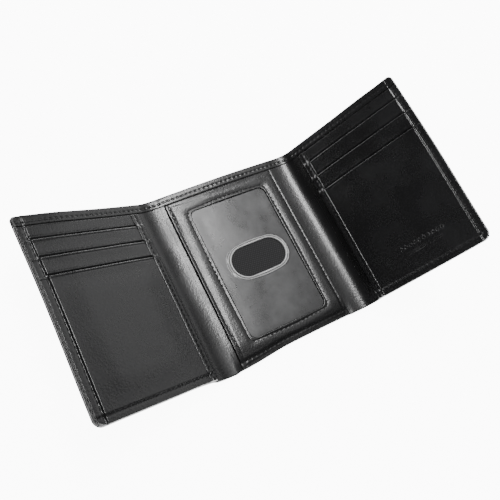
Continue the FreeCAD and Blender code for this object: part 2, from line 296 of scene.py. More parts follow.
leather = {
    "colour": (0.0052, 0.0052, 0.0056),
    "wornColour": (0.010, 0.010, 0.010),     # along turned edges
    "roughness": (0.20, 0.27),
    "glossGrain": 0.08,
    "grainSize": 0.0008,
    "grainDepth": 0.00004,
    "creaseSize": 0.014,
    "creaseDepth": 0.00008,
    "patchScale": 60,                        # broad patches of deeper colour and softer gloss
}


def makeLeather(name, values):
    # fine cells for the pores, a softer noise between them, broad creases and lighter edges
    material, tree, shader = newMaterial(name)
    spots = addNode(tree, "TexCoord").outputs["Object"]
    pores = texture(tree, spots, "Voronoi", feature="SMOOTH_F1",
                    Scale=1 / values["grainSize"])["Distance"]
    speckle = texture(tree, spots, "Noise", Scale=0.55 / values["grainSize"], Detail=3)[0]
    creases = texture(tree, spots, "Noise", Scale=1 / values["creaseSize"], Detail=4,
                      Distortion=0.6)[0]
    patches = texture(tree, spots, "Noise", Scale=values["patchScale"], Detail=5)[0]
    worn = addNode(tree, "Attribute", attribute_name="edge").outputs["Fac"]
    dark, light = shades(values["colour"], 0.8, 1.25)
    base = ramp(tree, patches, [(0.3, dark), (0.75, light)])
    tint(tree, scaled(tree, worn, 0.8), base, values["wornColour"], shader)
    low, high = values["roughness"]
    gloss = ramp(tree, patches, [(0.35, [low]), (0.68, [high])])
    fine = scaled(tree, speckle, values["glossGrain"])
    tree.links.new(scaled(tree, gloss, fine, "ADD"), shader.inputs["Roughness"])
    normal = bump(tree, creases, values["creaseDepth"])
    for height in (speckle, pores):
        normal = bump(tree, height, values["grainDepth"], before=normal)
    tree.links.new(normal, shader.inputs["Normal"])
    return material


cloth = {
    "lining": {"colour": (0.010, 0.010, 0.011), "yarn": 0.00036, "depth": 0.00008},
    "back": {"colour": (0.012, 0.012, 0.013), "yarn": 0.0006, "depth": 0.00016},
}


def makeCloth(name, values):
    # two crossed sets of yarns on the flat piece's own UV map, in metres
    material, tree, shader = newMaterial(name)
    flat = addNode(tree, "UVMap", uv_map="flat").outputs[0]
    yarns = []
    for turn in (math.radians(38), math.radians(128)):
        mapping = addNode(tree, "Mapping", Rotation=(0, 0, turn))
        tree.links.new(flat, mapping.inputs["Vector"])
        wave = addNode(tree, "TexWave", Scale=0.314 / values["yarn"] / 2,
                       Distortion=0.35, Detail=1)
        wave.inputs["Detail Scale"].default_value = 3
        tree.links.new(mapping.outputs[0], wave.inputs["Vector"])
        yarns.append(wave.outputs["Fac"])
    weave = scaled(tree, yarns[0], yarns[1])
    dark, light = shades(values["colour"], 0.45, 2.3)
    tree.links.new(ramp(tree, weave, [(0.05, dark), (0.7, light)]), shader.inputs["Base Color"])
    tree.links.new(bump(tree, weave, values["depth"]), shader.inputs["Normal"])
    setInputs(shader, {"Roughness": 0.82, "Sheen Weight": 0.25})
    return material


vinyl = {"colour": (0.030, 0.030, 0.031), "lipColour": (0.9, 0.9, 0.9), "alpha": 0.88,
         "roughness": (0.24, 0.36), "hazeScale": 110, "rippleScale": 90, "rippleDepth": 0.00006}


def makeVinyl(name, values):
    # clear film, hazier in patches and milky along the moulded lip
    material, tree, shader = newMaterial(name)
    spots = addNode(tree, "TexCoord").outputs["Object"]
    haze = texture(tree, spots, "Noise", Scale=values["hazeScale"], Detail=7)[0]
    ripple = texture(tree, spots, "Noise", Scale=values["rippleScale"], Detail=7)[0]
    lip = addNode(tree, "Attribute", attribute_name="edge").outputs["Fac"]
    dark, light = shades(values["colour"], 0.7, 1.4)
    base = ramp(tree, haze, [(0.3, dark), (0.7, light)])
    tint(tree, lip, base, values["lipColour"], shader)
    thick = addNode(tree, "Math", operation="ADD", use_clamp=True)
    thick.inputs[0].default_value = values["alpha"]
    tree.links.new(lip, thick.inputs[1])
    tree.links.new(thick.outputs[0], shader.inputs["Alpha"])
    low, high = values["roughness"]
    gloss = ramp(tree, haze, [(0.3, [low]), (0.75, [high])])
    tree.links.new(gloss, shader.inputs["Roughness"])
    tree.links.new(bump(tree, ripple, values["rippleDepth"]), shader.inputs["Normal"])
    shader.inputs["Specular IOR Level"].default_value = 0.6
    return material


threadValues = {"colour": (0.008, 0.008, 0.0085), "ply": 0.0007, "plyDepth": 0.00008,
                "roughness": 0.6, "shine": 0.2}


def makeThread(name, values):
    # waxed thread with its plies showing as slanting bands
    material, tree, shader = newMaterial(name)
    flat = addNode(tree, "UVMap", uv_map="flat").outputs[0]
    plies = texture(tree, flat, "Wave", Scale=0.314 / values["ply"], Distortion=0.4,
                    bands_direction="DIAGONAL")["Fac"]
    dark, light = shades(values["colour"], 0.6, 1.8)
    tree.links.new(ramp(tree, plies, [(0.2, dark), (0.8, light)]), shader.inputs["Base Color"])
    tree.links.new(bump(tree, plies, values["plyDepth"]), shader.inputs["Normal"])
    setInputs(shader, {"Roughness": values["roughness"], "Specular IOR Level": values["shine"]})
    return material


materials = {
    # each finish: its material and the name of its slot
    "leather": (makeLeather("smoothBlackLeather", leather), "black_leather"),
    "lining": (makeCloth("liningCloth", cloth["lining"]), "lining_cloth"),
    "back": (makeCloth("wovenBack", cloth["back"]), "woven_back"),
    "vinyl": (makeVinyl("clearVinyl", vinyl), "clear_vinyl"),
    "thread": (makeThread("waxedThread", threadValues), "thread"),
}
print("materials made:", len(materials))


def addToScene(thing):
    bpy.context.scene.collection.objects.link(thing)
    return thing


def makeObject(name, points, faces, finish, flat, worn=None, sharp=35):
    mesh = bpy.data.meshes.new(name)
    mesh.from_pydata(points.tolist(), [], faces)
    mesh.validate()
    mesh.polygons.foreach_set("use_smooth", np.ones(len(mesh.polygons), bool))
    mesh.set_sharp_from_angle(angle=math.radians(sharp))
    corner = np.empty(len(mesh.loops), np.int32)
    mesh.loops.foreach_get("vertex_index", corner)
    uvs = mesh.uv_layers.new(name="flat")
    uvs.data.foreach_set("uv", np.asarray(flat, np.float32)[corner].ravel())
    if worn is not None:
        attribute = mesh.attributes.new("edge", "FLOAT", "POINT")
        attribute.data.foreach_set("value", np.asarray(worn, np.float32).ravel())
    material, slot = materials[finish]
    mesh.materials.append(material)
    thing = addToScene(bpy.data.objects.new(name, mesh))
    return thing


def gridLines(low, high, step, around=(), extra=(), fine=(0.1, 0.22, 0.38, 0.6, 0.9, 1.3)):
    # lines from low to high: even steps, closer ones at both ends and round each place named
    lines = [np.linspace(low, high, max(2, int(round((high - low) / step)) + 1)), extra]
    for gap in fine:
        lines.append([low + gap * mm, high - gap * mm])
    for middle in around:
        lines.append(middle + np.array([-1.1, -0.7, -0.4, -0.2, 0, 0.2, 0.4, 0.7, 1.1]) * mm)
    lines = np.unique(np.round(np.concatenate(lines), 7))
    lines = lines[(lines >= low - 1e-9) & (lines <= high + 1e-9)]
    keep = np.concatenate([[True], np.diff(lines) > 0.04 * mm])
    keep[-1] = True
    return lines[keep]


def closedFaces(rows, columns):
    # faces of a closed slab: a top grid, a bottom grid turned over, and the four sides
    index = np.arange(rows * columns).reshape(rows, columns)
    a, b, c, d = index[:-1, :-1], index[1:, :-1], index[1:, 1:], index[:-1, 1:]
    top = np.stack([a, b, c, d], -1).reshape(-1, 4)
    under = rows * columns
    bottom = top[:, ::-1] + under
    rim = np.concatenate([index[:, 0], index[-1, 1:], index[-2::-1, -1], index[0, -2:0:-1]])
    following = np.roll(rim, -1)
    sides = np.stack([rim, rim + under, following + under, following], -1)
    return np.concatenate([top, bottom, sides]).tolist()


def wear(distance):
    # 1 at a free edge, fading over a third of a millimetre
    return np.exp(-(distance / (0.35 * mm)) ** 2)


def plate(name, finish, q, y, high, low, distance, reach, faces, worn=None):
    # the last steps of every plate: its free edges rounded over, both faces bent into place
    half = np.maximum(high - low, 0.04 * mm) / 2
    nearness = 1 - np.clip(distance / (reach * np.minimum(half, 0.55 * mm)), 0, 1)
    fall = 0.85 * half * (1 - np.sqrt(1 - nearness ** 2))
    points = [place(q, y, h).reshape(-1, 3) for h in (high - fall, low + fall)]
    flat = np.tile(np.stack([q, y], -1).reshape(-1, 2), (2, 1))
    worn = wear(distance) if worn is None else worn
    return makeObject(name, np.concatenate(points), faces, finish, flat, np.tile(worn.ravel(), 2))


cornerReach = 9 * mm                  # how far in a rounded corner draws its columns


def slab(name, finish, qSpan, ySpan, levels, rounded="", corners=None, aroundQ=(), aroundY=(),
         extraQ=(), extraY=(), top=None, bottom=None, step=(2.2 * mm, 2.6 * mm)):
    # A flexible plate on the flat wallet, bent into place. rounded names its free edges, out of
    # q (low), Q (high), y (low) and Y (high). corners gives the outer corners' low and high radius.
    # top and bottom are functions of q and y that add to its two faces.
    qs = gridLines(*qSpan, step[0], aroundQ, extraQ)
    ys = gridLines(*ySpan, step[1], aroundY, extraY, fine=(0.1, 0.22, 0.38, 0.6, 0.9, 1.3, 2, 3, 4))
    q, y = np.meshgrid(qs, ys, indexing="ij")
    far = 1 if qSpan[0] + qSpan[1] > 0 else -1
    if corners:
        inset = np.zeros_like(y)
        for radius, gap in ((corners[0], y - ySpan[0]), (corners[1], ySpan[1] - y)):
            depth = np.clip(radius - gap, 0, radius)
            inset = np.maximum(inset, radius - np.sqrt(np.maximum(radius ** 2 - depth ** 2, 0)))
        outer = qSpan[1] if far > 0 else -qSpan[0]
        q = q - far * inset * smooth((q * far - outer + cornerReach) / cornerReach)
    gaps = {"q": q - q[0], "Q": q[-1] - q, "y": y - ySpan[0], "Y": ySpan[1] - y}
    distance = np.full_like(q, 1.0)
    for letter in rounded:
        distance = np.minimum(distance, gaps[letter])
    high, low = heightAt(q, y, levels[1]), heightAt(q, y, levels[0])
    if top:
        high = high + top(q, y)
    if bottom:
        low = low + bottom(q, y)
    return plate(name, finish, q, y, high, low, distance, 1.6, closedFaces(*q.shape))


def loopSlab(name, finish, inner, outer, shares, levels, top, bottom, worn=None):
    # a plate with a hole: rings of points from the hole's outline out to the plate's outline
    spots = inner[None] + (outer - inner)[None] * np.asarray(shares)[:, None, None]
    q, y = spots[..., 0], spots[..., 1]
    gap = np.linalg.norm(spots - inner[None], axis=-1)
    rim = np.linalg.norm(spots - outer[None], axis=-1)
    high = heightAt(q, y, levels[1]) + top(q, y, gap, rim)
    low = heightAt(q, y, levels[0]) + bottom(q, y, gap, rim)
    rings, count = q.shape
    index = np.arange(rings * count).reshape(rings, count)
    following = np.roll(index, -1, 1)
    upper = np.stack([index[:-1], index[1:], following[1:], following[:-1]], -1).reshape(-1, 4)
    under = rings * count
    inside = np.stack([index[0], following[0], following[0] + under, index[0] + under], -1)
    outside = np.stack([index[-1], index[-1] + under, following[-1] + under, following[-1]], -1)
    faces = np.concatenate([upper, upper[:, ::-1] + under, inside, outside]).tolist()
    distance = np.minimum(gap, rim)
    return plate(name, finish, q, y, high, low, distance, 1.5, faces, worn and worn(gap))


def roundedLoop(low, high, radius, alongX, alongY, corner=12):
    # a rounded rectangle's outline, anticlockwise from the low end of its right side
    centre, reach = (low + high) / 2, (high - low) / 2 - radius
    parts = []
    for number, (sx, sy) in enumerate(((1, -1), (1, 1), (-1, 1), (-1, -1))):
        turn = math.radians(-90 + 90 * number) + np.linspace(0, math.pi / 2, corner)
        arc = np.stack([np.cos(turn), np.sin(turn)], 1) * radius + reach * (sx, sy)
        parts.append(arc)
    outline = []
    for number, arc in enumerate(parts):
        following = parts[(number + 1) % 4]
        count = alongY if number % 2 == 0 else alongX
        share = np.linspace(0, 1, count + 1)[1:-1, None]
        outline += [arc, arc[-1] + (following[0] - arc[-1]) * share]
    return np.concatenate(outline) + centre


stitch = {"pitch": 2.9 * mm, "length": 2.25 * mm, "width": 0.56 * mm, "height": 0.40 * mm,
          "pull": 0.2 * mm, "slant": 0.10, "rise": -0.09 * mm, "outside": -0.1 * mm, "pucker": 0.6}


def stitchRows(name, rows):
    # Single stitches along straight or closed paths on the flat wallet: each is a slim barrel,
    # slanted a little, with its ends pulled in. A row is its path, its level, how far the middle
    # of a stitch stands above that, and 1 or -1 for the inside or the outside of the wallet.
    rings = np.array([-1, -0.82, -0.3, 0.3, 0.82, 1])[None, :, None]
    girth = np.array([0.25, 0.75, 1, 1, 0.75, 0.25])[None, :, None]
    turns = np.arange(6)[None, None] * math.pi / 3
    points, flat = [], []
    for path, level, rise, facing in rows:
        path = np.asarray(path, float)
        lengths = np.concatenate([[0], np.cumsum(np.linalg.norm(np.diff(path, axis=0), axis=1))])
        count = max(1, int(round(lengths[-1] / stitch["pitch"])))
        middles = (np.arange(count) + 0.5) * lengths[-1] / count
        spot = np.stack([np.interp(middles, lengths, path[:, i]) for i in (0, 1)], 1)
        before = np.stack([np.interp(middles - 0.2 * mm, lengths, path[:, i]) for i in (0, 1)], 1)
        ahead = (spot - before) / np.linalg.norm(spot - before, axis=1, keepdims=True)
        sideways = np.stack([-ahead[:, 1], ahead[:, 0]], 1)
        ahead = ahead + sideways * stitch["slant"]
        along = rings * stitch["length"] / 2
        across = girth * np.cos(turns) * stitch["width"] / 2
        lift = girth * np.sin(turns) * stitch["height"] / 2 - stitch["pull"] * rings ** 2 * facing
        q, y = [spot[:, i, None, None] + ahead[:, i, None, None] * along
                + sideways[:, i, None, None] * across for i in (0, 1)]
        base = heightAt(q, y, level(q, y) if callable(level) else level)
        points.append(place(q, y, base + rise * facing + lift).reshape(-1, 3))
        run = middles[:, None, None] + along + 0 * across
        flat.append(np.stack([run, across + 0 * run], -1).reshape(-1, 2))
    points, flat = np.concatenate(points), np.concatenate(flat)
    size = rings.size * turns.size
    index = np.arange(size).reshape(rings.size, turns.size)
    around = np.roll(index, -1, 1)
    tube = np.stack([index[:-1], around[:-1], around[1:], index[1:]], -1).reshape(-1, 4)
    one = tube.tolist() + [index[0][::-1].tolist(), index[-1].tolist()]
    faces = [[v + size * n for v in face] for n in range(len(points) // size) for face in one]
    return makeObject(name, points, faces, "thread", flat, sharp=80)


def cadName(piece):
    # leftFoldCoverHem stands for the CAD node left_fold_cover_hem
    return "".join("_" + letter.lower() if letter.isupper() else letter for letter in piece)


def follow(thing, section):
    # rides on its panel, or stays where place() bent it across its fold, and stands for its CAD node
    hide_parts(cadName(thing.name))
    side, panel = (-1, "left_panel") if section.startswith("left") else (1, "right_panel")
    if section.endswith("Fold"):
        fold = folds[side]
        ends = [place(np.array(side * (fold["flatEnd"] + share * fold["arc"])), np.array(0.0),
                      np.array(dividerLow[2])) for share in (fold["give"], 1)]
        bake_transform(thing)
    else:
        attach(thing, "centre" if section == "centre" else panel)
    return thing


def groove(distance, depth, width):
    return -depth * np.exp(-(distance / width) ** 2)


def pucker(along, share=1.0):
    # a sewn groove is deepest at the stitch holes and the leather rises between them
    return 1 + share * stitch["pucker"] * np.cos(2 * math.pi * along / stitch["pitch"])


# where one section of the unbroken layers ends and the next starts, from left to right
marks = []
for side in (-1, 1):
    fold = folds[side]
    bent = (fold["flatEnd"] - bend["overlap"], fold["flatEnd"] + fold["arc"] + bend["overlap"])
    marks += sorted(side * mark for mark in (*bent, fold["edge"]))
sections = dict(zip(("left", "leftFold", "centre", "rightFold", "right"),
                    zip(marks[:-1], marks[1:])))
cover = {"lowCorner": 4.5 * mm, "highCorner": 2.5 * mm, "seamInset": 3.25 * mm,
         "seamCorner": 2.2 * mm, "dent": 0.22 * mm, "dentWidth": 0.5 * mm}
hem = {"seamInset": 3.35 * mm, "seamEnd": 3.5 * mm, "dent": 0.16 * mm, "dentWidth": 0.6 * mm,
       "swell": 0.15 * mm}
margin = 1 * mm                       # kept free beside hidden layers
edgeSeamY = -halfHeight + cover["seamInset"]
coverHemLow, coverHemHigh = flatBox("centre_cover_hem")
dividerHemLow, dividerHemHigh = flatBox("centre_divider_hem")
liningLow, liningHigh = flatBox("centre_cover_lining")
backingLow, backingHigh = flatBox("centre_divider_lining")


def outerSeam(q, y):
    # distance to the seam near the outer edges, on the sewn stretches only
    fromSide = toEdge(q) - cover["seamInset"]
    toSide = np.abs(fromSide) + relief["corner"] * (y < edgeSeamY)
    toLow = np.abs(y - edgeSeamY) + relief["corner"] * (foldShare(q) + (fromSide < 0))
    return np.minimum(toSide, toLow)


def sewnDent(q, y, depth):
    # the groove of the outer seams, puckered along whichever of them is nearer
    nearSide = toEdge(q) < y + halfHeight
    return groove(outerSeam(q, y), depth, hem["dentWidth"]) * pucker(np.where(nearSide, y, q))


def coverUnderside(q, y):
    seam = groove(outerSeam(q, y), -cover["dent"], cover["dentWidth"])
    topSeam = groove(y - halfHeight + hem["seamInset"], -cover["dent"], cover["dentWidth"])
    return np.maximum(seam, topSeam)


def hemTop(edgeY):
    # two soft swells with the sewn line pressed in between
    def shape(q, y):
        share = (edgeY - y) / (dividerHemHigh[1] - dividerHemLow[1])
        swell = hem["swell"] * np.sin(np.clip(share, 0, 1) * math.pi) ** 0.5
        fromSeam = y - edgeY + hem["seamInset"]
        return swell + groove(fromSeam, hem["dent"], hem["dentWidth"]) * pucker(q)
    return shape


def freeEdges(section, text):
    # the q edges of a layer are free only at the wallet's two ends
    return text + {"left": "q", "right": "Q"}.get(section, "")


def endCorners(section, low=True, high=True):
    if section not in ("left", "right"):
        return None
    return (cover["lowCorner"] if low else 0, cover["highCorner"] if high else 0)


def endSeamQ(section):
    # the q of the seam along a panel's outer edge
    if section not in ("left", "right"):
        return ()
    side = -1 if section == "left" else 1
    return (side * (folds[side]["edge"] - cover["seamInset"]),
            side * (folds[side]["edge"] - relief["borderFlat"] - relief["borderStep"] * 0.5))


def pulledIn(section, span, distance):
    # a span that ends short of the wallet's outer edge
    return span[0] + distance * (section == "left"), span[1] - distance * (section == "right")


def layer(section, piece, *shape, **settings):
    return follow(slab(section + piece, *shape, **settings), section)


def seams(section, piece, rows):
    follow(stitchRows(section + piece, rows), section)


borderRows = (edgeSeamY, -halfHeight + relief["borderFlat"] + relief["borderStep"] * 0.5)
clothGap = 0.02 * mm
for section, span in sections.items():
    step = (0.5 * mm if section.endswith("Fold") else 2.2 * mm, 2.6 * mm)
    free, corners, seamQ = freeEdges(section, "yY"), endCorners(section), endSeamQ(section)
    layer(section, "OuterCover", "leather", span, (-halfHeight, halfHeight),
          (0, coverHigh[2]), free, corners, seamQ, borderRows + (halfHeight - hem["seamInset"],),
          bottom=coverUnderside, step=step)
    clothSpan = pulledIn(section, span, margin)
    turned = folds[-1 if section[0] == "l" else 1]["rest"] if section.endswith("Fold") else 0
    for piece, low, high, bottomGap, topGap, under in (
            ("CoverLining", liningLow, liningHigh, clothGap, 0, "OuterCover"),
            ("DividerLining", backingLow, backingHigh, 0, clothGap, "Divider")):
        lining = layer(section, piece, "lining", clothSpan, (low[1], high[1]),
                       (low[2] + bottomGap, high[2] - topGap), step=step)
        across = clothSpan[1] - clothSpan[0] + (guide - (low[2] + high[2]) / 2) * turned
    layer(section, "Divider", "leather", span, (dividerLow[1], dividerHigh[1]),
          (dividerLow[2], dividerHigh[2]), free, corners, seamQ, borderRows, step=step)
    for piece, low, high, edgeY, around in (
            ("CoverHem", coverHemLow, coverHemHigh, halfHeight, ()),
            ("DividerHem", dividerHemLow, dividerHemHigh, dividerHemHigh[1], seamQ)):
        layer(section, piece, "leather", span, (low[1], high[1]), (low[2], high[2]), free,
              endCorners(section, low=False), around, (edgeY - hem["seamInset"],),
              top=hemTop(edgeY), step=(0.55 * mm, 0.7 * mm))
    rows = []
    for edgeY, level, rise, facing in (
            (halfHeight, coverHemHigh[2], stitch["rise"], 1),
            (halfHeight, 0, stitch["outside"], -1),
            (dividerHemHigh[1], dividerHemHigh[2], stitch["rise"], 1)):
        path = [(q, edgeY - hem["seamInset"]) for q in pulledIn(section, span, hem["seamEnd"])]
        rows.append((path, level, rise, facing))
    seams(section, "HemSeams", rows)
print("layers made:", len(sections))


pocket = {
    "mouthLift": 0.40 * mm,           # how far a slot's open edge stands off
    "mouthReach": 6 * mm,
    "sewnBorder": 4 * mm,
    "sewnSide": 16 * mm,              # stretch beside the sewn sides that can't stand off
    "unsewnStep": 1.2 * mm,           # how soon the mouths begin beside the sewn border
    # place counted from a slot's open edge, size and width of what runs along it
    "dip": (0.3 * mm, 0.48 * mm, 0.55 * mm),
    "bead": (1.6 * mm, 0.12 * mm, 0.9 * mm),
    "crease": (-1.4 * mm, 0.07 * mm, 0.25 * mm),
    "rim": (-0.65 * mm, 0.11 * mm, 0.6 * mm),
    "swell": (0.45 * mm, 14 * mm, 5 * mm),  # height, how far it takes to rise, where it starts
    "sewnDent": 0.14 * mm,
    "headGap": 0.6 * mm,
}
binding = {"stand": 0.42 * mm, "seamInset": 2.45 * mm, "dent": 0.16 * mm, "wrap": 0.5 * mm,
           "bump": (-1.2 * mm, 0.22 * mm, 1.8 * mm)}
ornament = {"from": 31 * mm, "length": 28 * mm, "y": -35.6 * mm, "pitch": 2.8 * mm,
            "size": 1.3 * mm, "depth": 0.16 * mm, "line": 0.36 * mm,
            "ruleGaps": (3.4 * mm, 4.5 * mm), "ruleInset": 3 * mm, "grid": (0.22 * mm, 0.2 * mm)}
slotNames = ("SlotUpper", "SlotMiddle", "SlotFront")
slotHighs = [flatBox(cadName("left" + name), -1)[1] for name in slotNames]
slotEdges, slotTops = [high[1] for high in slotHighs], [high[2] for high in slotHighs]


def flatSpan(node, side=0):
    # where a CAD node lies on the flat wallet: its stretch of q, of y and of levels
    low, high = flatBox(node, side)
    ends = (low[0], high[0])
    if side:
        ends = tuple(sorted(panelQ(side, end) for end in ends))
    return ends, (low[1], high[1]), (low[2], high[2])


def middleShare(q):
    # 1 over the middle of a side panel, 0 at its sewn edges
    toOuter = toEdge(q) - pocket["sewnBorder"]
    return smooth(np.minimum(fromInner(q, slotLow[0]), toOuter) / pocket["sewnSide"])


def slotLift(edgeY):
    # the open edge of a slot stands off the leather behind it, most in its middle
    def shape(q, y):
        nearEdge = smooth((y - edgeY) / pocket["mouthReach"] + 1)
        return pocket["mouthLift"] * nearEdge * middleShare(q)
    return shape


def beyondMouth(q, y, edgeY):
    # the leather dips into the slot right behind the slot's open edge, then rolls over a low bead
    unsewn = smooth((toEdge(q) - relief["borderFlat"])
                    / pocket["unsewnStep"])
    dipPlace, depth, dipWidth = pocket["dip"]
    dip = groove(y - edgeY - dipPlace, depth, dipWidth)
    return (dip + ridge(y - edgeY, pocket["bead"])) * unsewn


def ridge(beyond, shape):
    middle, height, width = shape
    return height * hump((beyond - middle) / width)


def slotTop(edgeY, nextEdge, decorated):
    # lift and a low rim at the mouth, a faint pressed line below it, a dip beyond the next
    # slot's mouth, the sewn groove near the outer edges and a soft swell over the pocket
    lift = slotLift(edgeY)
    creasePlace, depth, creaseWidth = pocket["crease"]

    def shape(q, y):
        raised = lift(q, y) + sewnDent(q, y, pocket["sewnDent"])
        raised = raised + groove(y - edgeY - creasePlace, depth, creaseWidth)
        raised = raised + ridge(y - edgeY, pocket["rim"])
        if nextEdge is not None:
            raised = raised + beyondMouth(q, y, nextEdge)
        else:
            height, rise, start = pocket["swell"]
            lower = smooth((y + halfHeight - start) / rise) * smooth((edgeY - y) / rise)
            raised = raised + height * lower * middleShare(q)
        return raised + (stamped(q, y) if decorated else 0)
    return shape


def stamped(q, y):
    # a pressed row of lozenge outlines above a plain double rule
    distance = q - panelQ(1, ornament["from"])
    length = ornament["length"]
    inRow = (distance > 0) & (distance < length)
    cell = (distance / ornament["pitch"]) % 1 - 0.5
    lozenge = np.abs(cell) * ornament["pitch"] + np.abs(y - ornament["y"]) * 0.9
    pressed = hump((lozenge - ornament["size"] * 0.82) / ornament["line"]) * inRow
    inset = ornament["ruleInset"]
    inRule = (distance > inset) & (distance < length - inset)
    for gap in ornament["ruleGaps"]:
        rule = hump((y - ornament["y"] + gap) / (ornament["line"] - 0.02 * mm)) * inRule
        pressed = np.maximum(pressed, rule)
    return -ornament["depth"] * pressed


def bindingDrop(y):
    # the bound edge steps down where each slot's leather ends beneath it
    step = (slotTops[2] - slotTops[0]) / 2
    return sum(step * smooth((y - edgeY + 0.4 * mm) / (2 * mm)) for edgeY in slotEdges)


def bindingTop(q, y):
    fromSeam = fromInner(q, bindingLow[0]) - binding["seamInset"]
    seam = groove(fromSeam, binding["dent"], hem["dentWidth"]) * pucker(y)
    bumps = sum(ridge(y - edgeY, binding["bump"]) for edgeY in slotEdges)
    return binding["stand"] - bindingDrop(y) + seam + bumps


def panelTop(q, y):
    # level of the uppermost leather on a side panel, for the stitches
    level = np.full(np.shape(q + y), pocketHigh[2])
    for edgeY, slotLevel in zip(slotEdges, slotTops):
        level = np.where(y < edgeY, slotLevel, level)
    bound = slotTops[2] + binding["stand"] - bindingDrop(y)
    return np.where(fromInner(q, bindingHigh[0]) < binding["wrap"], bound, level)


def cornerPath(q, inner, top, low, radius):
    # down beside the outer edge, round the corner and in along the bottom
    side = 1 if q > 0 else -1
    turn = np.linspace(0, math.pi / 2, 9)
    arc = np.stack([q - side * radius * (1 - np.cos(turn)), low + radius * (1 - np.sin(turn))], 1)
    return np.concatenate([[(q, top)], arc, [(inner, low)]])


def pocketBaseTop(q, y):
    return beyondMouth(q, y, slotEdges[0]) + sewnDent(q, y, pocket["sewnDent"])


sewnStep = (0.7 * mm, 0.6 * mm)       # close enough to carry the puckers
for side, section in ((-1, "left"), (1, "right")):
    outer, seamQ = "q" if side < 0 else "Q", endSeamQ(section)
    lowOnly = (cover["lowCorner"], 0)
    start = side * (folds[side]["flatEnd"] + folds[side]["arc"] + margin)
    for piece, edges, corners in (("SideTurnedEdge", outer + "yY", lowOnly),
                                  ("BottomTurnedEdge", "y", None)):
        qSpan, ySpan, levels = flatSpan(cadName(section + piece), side)
        qSpan = (qSpan[0], min(qSpan[1], start)) if side < 0 else (max(qSpan[0], start), qSpan[1])
        layer(section, piece, "leather", qSpan, ySpan, levels, edges, corners)
    qSpan, ySpan, levels = flatSpan(section + "_pocket_base", side)
    behind = [slotEdges[0] + pocket[line][0] for line in ("dip", "bead")]
    layer(section, "PocketBase", "leather", qSpan,
          (ySpan[0], ySpan[1] - pocket["headGap"]), levels, "qQyY", lowOnly, seamQ,
          (*borderRows, *behind), top=pocketBaseTop, step=sewnStep)
    for number, piece in enumerate(slotNames):
        qSpan, ySpan, levels = flatSpan(cadName(section + piece), side)
        following = slotEdges[number + 1] if number < 2 else None
        decorated = number == 2 and side > 0
        lines = {}
        if decorated:
            start = panelQ(1, ornament["from"])
            lines["extraQ"] = np.arange(start, start + ornament["length"], ornament["grid"][0])
            lines["extraY"] = ornament["y"] + np.arange(-5.5 * mm, 2.2 * mm, ornament["grid"][1])
        rows = [ySpan[1] + pocket["crease"][0]]
        if following is not None:
            rows += [following + pocket[line][0] for line in ("dip", "bead")]
        layer(section, piece, "leather", qSpan, ySpan, levels, "yY" + outer, lowOnly, seamQ,
              (*borderRows, *rows), **lines, step=sewnStep,
              top=slotTop(ySpan[1], following, decorated), bottom=slotLift(ySpan[1]))
    qSpan, ySpan, levels = flatSpan(section + "_pocket_binding", side)
    near, far = sorted(qSpan, key=abs)
    qSpan = sorted((near, far + side * binding["wrap"]))
    seamAt = side * (abs(panelQ(side, bindingLow[0])) + binding["seamInset"])
    layer(section, "PocketBinding", "leather", qSpan,
          (ySpan[0], ySpan[1] - pocket["headGap"]), levels, "qQyY", None, (seamAt,),
          (*borderRows, *slotEdges), top=bindingTop, step=(0.4 * mm, 0.6 * mm))
    edgeSpan, edgeRun = flatSpan(section + "_edge_seam", side)[:2]
    path = cornerPath(side * (folds[side]["edge"] - cover["seamInset"]), min(edgeSpan, key=abs),
                      edgeRun[1], edgeSeamY, cover["seamCorner"])
    seams(section, "EdgeSeam", [(path, panelTop, stitch["rise"], 1),
                                (path, 0, stitch["outside"], -1)])
    bindRun = flatSpan(section + "_pocket_seam", side)[1]
    path = [(seamAt, bindRun[1]), (seamAt, bindRun[0])]
    seams(section, "PocketSeam", [(path, panelTop, stitch["rise"], 1)])
    print(section, "panel made")


idFrame = {"seamInset": 2.05 * mm, "seamWidth": 0.5 * mm, "sideSeamInset": 2.0 * mm,
           "dent": 0.13 * mm, "dentWidth": 0.55 * mm, "pucker": 0.3,
           "swell": (0.2 * mm, 3.6 * mm), "corner": 4.0 * mm, "outerCorner": 0.8 * mm,
           "mouthLift": 0.35 * mm, "mouthReach": 3 * mm, "mouthEnd": (6 * mm, 20 * mm)}
# the lip's two ridges: place counted from the hole's edge, height and width
window = {"holeLength": 33 * mm, "holeWidth": 17.5 * mm, "lip": (0.8 * mm, 0.6 * mm, 0.7 * mm),
          "outerLip": (2.1 * mm, 0.3 * mm, 0.6 * mm), "ripple": 0.1 * mm, "film": 0.3 * mm,
          "corner": 1.5 * mm, "slack": 6 * mm, "waves": (6.5 * mm, 17 * mm, 8.3 * mm)}

qSpan, ySpan, levels = flatSpan("centre_bottom_turned_edge")
qSpan = (max(qSpan[0], margin - folds[-1]["flatEnd"]), min(qSpan[1], folds[1]["flatEnd"] - margin))
layer("centre", "BottomTurnedEdge", "leather", qSpan, ySpan, levels, "y")
qSpan, ySpan, levels = flatSpan("id_pocket_back")
back = slab("idPocketBack", "back", qSpan, ySpan, levels)
follow(back, "centre")


seamRun = flatSpan("id_window_seam")
seamOutside = idFrame["seamInset"] + idFrame["seamWidth"] / 2
openingLow = np.array([seamRun[0][0], seamRun[1][0]]) + seamOutside
openingHigh = np.array([seamRun[0][1], seamRun[1][1]]) - seamOutside
holeBox = np.array(frame["record"]["physics"]["openings"][0]["box_m"])
holeMiddle = holeBox.mean(0)[:2]


